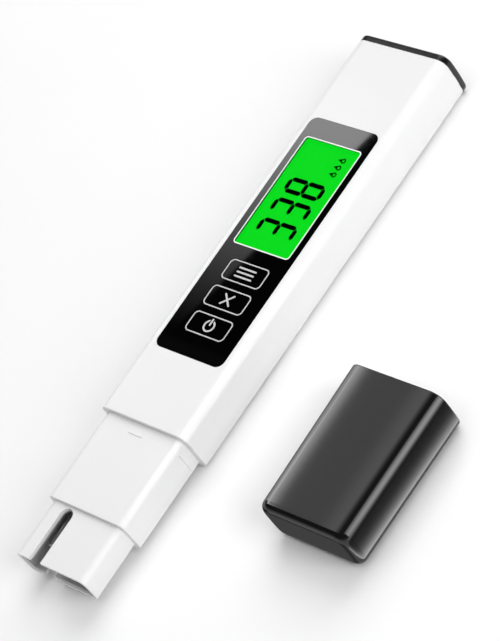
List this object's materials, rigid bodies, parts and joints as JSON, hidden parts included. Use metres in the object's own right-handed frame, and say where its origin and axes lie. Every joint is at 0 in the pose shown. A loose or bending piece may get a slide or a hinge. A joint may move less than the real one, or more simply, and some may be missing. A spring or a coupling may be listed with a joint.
{
  "type": "digital water tester",
  "caption": "Slim white probe pen with a backlit display, keys, a slotted probe cup and a pull-off protective cap lying beside it.",
  "frame": {"origin": "centre of the pen's flat back face, on the surface that it lies on", "axes": "+X across the pen towards the loose protective cap, +Y along the pen towards the battery end cap, +Z out of the display face"},
  "size_m": [0.0847, 0.1545, 0.0132],
  "materials": {
    "white_abs": "polished white ABS",
    "black_abs": "polished black ABS",
    "cap_abs": "satin-gloss charcoal ABS",
    "panel_gloss": "high-gloss black overlay",
    "lens_clear": "clear acrylic",
    "print_white": "white print",
    "key_print": "light grey print",
    "display_green": "backlit liquid crystal",
    "segment_black": "lit display segments",
    "carrier_grey": "fine moulded grey",
    "holder_white": "moulded reflector white",
    "steel": "drawn stainless",
    "nickel": "nickel plate",
    "gold_contact": "gold-flashed spring strip",
    "board_green": "solder mask",
    "chip_black": "moulded epoxy",
    "component_tan": "ceramic",
    "seal_rubber": "moulded silicone",
    "potting": "cast resin",
    "strip_rubber": "silicone with carbon layers",
    "wire_red": "lead insulation",
    "led_yellow": "LED package",
    "cell_steel": "button cell can"
  },
  "bodies": {
    "pen": {"body_sleeve": "white_abs", "probe_housing": "white_abs", "snap_ridges": "white_abs", "neck_seal": "seal_rubber", "electrode_carrier": "carrier_grey", "electrode_pins": "steel", "temperature_sensor": "steel", "probe_potting": "potting", "sensor_leads": "wire_red", "inner_frame": "holder_white", "main_board": "board_green", "board_screws": "nickel", "controller_chip": "chip_black", "timing_crystal": "nickel", "board_components": "component_tan", "display_holder": "holder_white", "light_guide": "display_green", "backlight_leds": "led_yellow", "contact_strips": "strip_rubber", "display_glass": "display_green", "display_segments": "segment_black", "front_panel": "panel_gloss", "window_lens": "lens_clear", "window_line": "print_white", "key_switches": "chip_black", "contact_springs": "gold_contact"},
    "battery_drawer": {"end_cap": "black_abs", "end_cap_seal": "seal_rubber", "battery_tray": "black_abs", "battery_cells": "cell_steel", "tray_contacts": "gold_contact"},
    "cap": {"protective_cap": "cap_abs"},
    "mode_button": {"mode_key": "panel_gloss", "mode_key_mark": "key_print", "mode_plunger": "holder_white"},
    "clear_button": {"clear_key": "panel_gloss", "clear_key_mark": "key_print", "clear_plunger": "holder_white"},
    "power_button": {"power_key": "panel_gloss", "power_key_mark": "key_print", "power_plunger": "holder_white"}
  },
  "joints": [
    {"name": "battery_drawer_slide", "type": "slide", "parent": "pen", "child": "battery_drawer", "axis": [0, 1, 0], "range_m": [0, 0.032]},
    {"name": "cap_slide", "type": "slide", "parent": "pen", "child": "cap", "axis": [0, -1, 0], "range_m": [0, 0.072]},
    {"name": "mode_press", "type": "slide", "parent": "pen", "child": "mode_button", "axis": [0, 0, -1], "range_m": [0, 0.00035], "stiffness_N_per_m": 400, "springref_m": -0.001},
    {"name": "clear_press", "type": "slide", "parent": "pen", "child": "clear_button", "axis": [0, 0, -1], "range_m": [0, 0.00035], "stiffness_N_per_m": 400, "springref_m": -0.001},
    {"name": "power_press", "type": "slide", "parent": "pen", "child": "power_button", "axis": [0, 0, -1], "range_m": [0, 0.00035], "stiffness_N_per_m": 400, "springref_m": -0.001}
  ]
}
